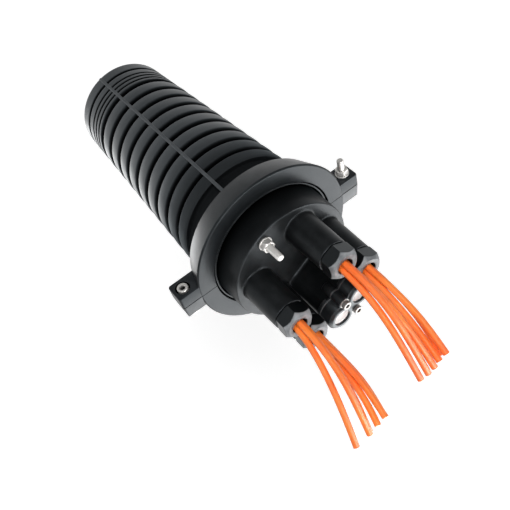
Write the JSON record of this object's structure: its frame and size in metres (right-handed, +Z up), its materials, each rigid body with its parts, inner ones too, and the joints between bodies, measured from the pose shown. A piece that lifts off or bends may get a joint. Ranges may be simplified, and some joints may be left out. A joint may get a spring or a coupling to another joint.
{
  "type": "fibre distribution closure",
  "caption": "Dome closure for joining fibre cables: corrugated cover, two-part clamp ring, base with round glands, lobed oval port, earth stud and orange cables.",
  "frame": {"origin": "on the closure's axis, in the plane where dome and base meet, at the middle of the clamp ring", "axes": "+X along the axis from the dome's closed end to the cable ports, +Y towards the ear with the standing bolt, +Z up, along the clamp's bolts"},
  "size_m": [0.5644, 0.246, 0.2],
  "materials": {
    "dome_black": "satin",
    "base_black": "satin",
    "clamp_black": "satin",
    "nut_black": "satin",
    "cap_black": "satin",
    "seal_rubber": "matt",
    "ring_plastic": "matt",
    "plug_white": "satin",
    "cable_orange": "satin",
    "tray_plastic": "satin",
    "cover_clear": "clear",
    "bracket_aluminium": "satin",
    "steel": "bright"
  },
  "bodies": {
    "closure": {"anchor_bar": "bracket_aluminium", "base_housing": "base_black", "bracket_screws": "steel", "cable_1_1": "cable_orange", "cable_1_2": "cable_orange", "cable_1_3": "cable_orange", "cable_2_1": "cable_orange", "cable_2_2": "cable_orange", "cable_2_3": "cable_orange", "cable_3_1": "cable_orange", "cable_3_2": "cable_orange", "cable_3_3": "cable_orange", "cable_4_1": "cable_orange", "cable_4_2": "cable_orange", "cable_4_3": "cable_orange", "clamp_lower": "clamp_black", "clamp_screw_nut": "steel", "clamp_upper": "clamp_black", "dome_shell": "dome_black", "earth_stud": "steel", "earth_washer": "steel", "flange_seal": "seal_rubber", "gland_ring_1": "ring_plastic", "gland_ring_2": "ring_plastic", "gland_ring_3": "ring_plastic", "gland_ring_4": "ring_plastic", "gland_seal_1": "seal_rubber", "gland_seal_2": "seal_rubber", "gland_seal_3": "seal_rubber", "gland_seal_4": "seal_rubber", "hanger_bolt": "steel", "hanger_washer": "steel", "oval_cap": "cap_black", "oval_plug_1": "plug_white", "oval_plug_2": "plug_white", "oval_seal": "seal_rubber", "splice_tray_1": "tray_plastic", "splice_tray_2": "tray_plastic", "splice_tray_3": "tray_plastic", "splice_tray_4": "tray_plastic", "storage_basket": "tray_plastic", "tray_bracket": "bracket_aluminium", "tray_cover": "cover_clear", "tray_hinge_pins": "steel"},
    "gland_nut_1": {"gland_nut_1": "nut_black"},
    "gland_nut_2": {"gland_nut_2": "nut_black"},
    "gland_nut_3": {"gland_nut_3": "nut_black"},
    "gland_nut_4": {"gland_nut_4": "nut_black"},
    "earth_nut": {"earth_nut": "steel"},
    "hanger_nut": {"hanger_nut": "steel"},
    "clamp_screw": {"clamp_screw": "steel"},
    "oval_screw_1": {"oval_screw_1": "steel"},
    "oval_screw_2": {"oval_screw_2": "steel"}
  },
  "joints": [
    {"name": "gland_nut_1_turn", "type": "hinge", "parent": "closure", "child": "gland_nut_1", "pos_m": [0.11, -0.04618, 0.00543], "axis": [1, 0, 0], "continuous": true},
    {"name": "gland_nut_2_turn", "type": "hinge", "parent": "closure", "child": "gland_nut_2", "pos_m": [0.11, 0.01839, 0.04271], "axis": [1, 0, 0], "continuous": true},
    {"name": "gland_nut_3_turn", "type": "hinge", "parent": "closure", "child": "gland_nut_3", "pos_m": [0.11, 0.04531, 0.01046], "axis": [1, 0, 0], "continuous": true},
    {"name": "gland_nut_4_turn", "type": "hinge", "parent": "closure", "child": "gland_nut_4", "pos_m": [0.11, -0.03171, -0.03401], "axis": [1, 0, 0], "continuous": true},
    {"name": "earth_nut_turn", "type": "hinge", "parent": "closure", "child": "earth_nut", "pos_m": [0.053, -0.02488, 0.0546], "axis": [1, 0, 0], "continuous": true},
    {"name": "hanger_nut_turn", "type": "hinge", "parent": "closure", "child": "hanger_nut", "pos_m": [0.0024, 0.1113, 0.02], "axis": [0, 0, 1], "continuous": true},
    {"name": "clamp_screw_turn", "type": "hinge", "parent": "closure", "child": "clamp_screw", "pos_m": [0.0024, -0.1113, 0.01], "axis": [0, 0, 1], "continuous": true},
    {"name": "oval_screw_1_turn", "type": "hinge", "parent": "closure", "child": "oval_screw_1", "pos_m": [0.115, 0.0116, -0.02009], "axis": [1, 0, 0], "continuous": true},
    {"name": "oval_screw_2_turn", "type": "hinge", "parent": "closure", "child": "oval_screw_2", "pos_m": [0.115, 0.0244, -0.04226], "axis": [1, 0, 0], "continuous": true}
  ]
}
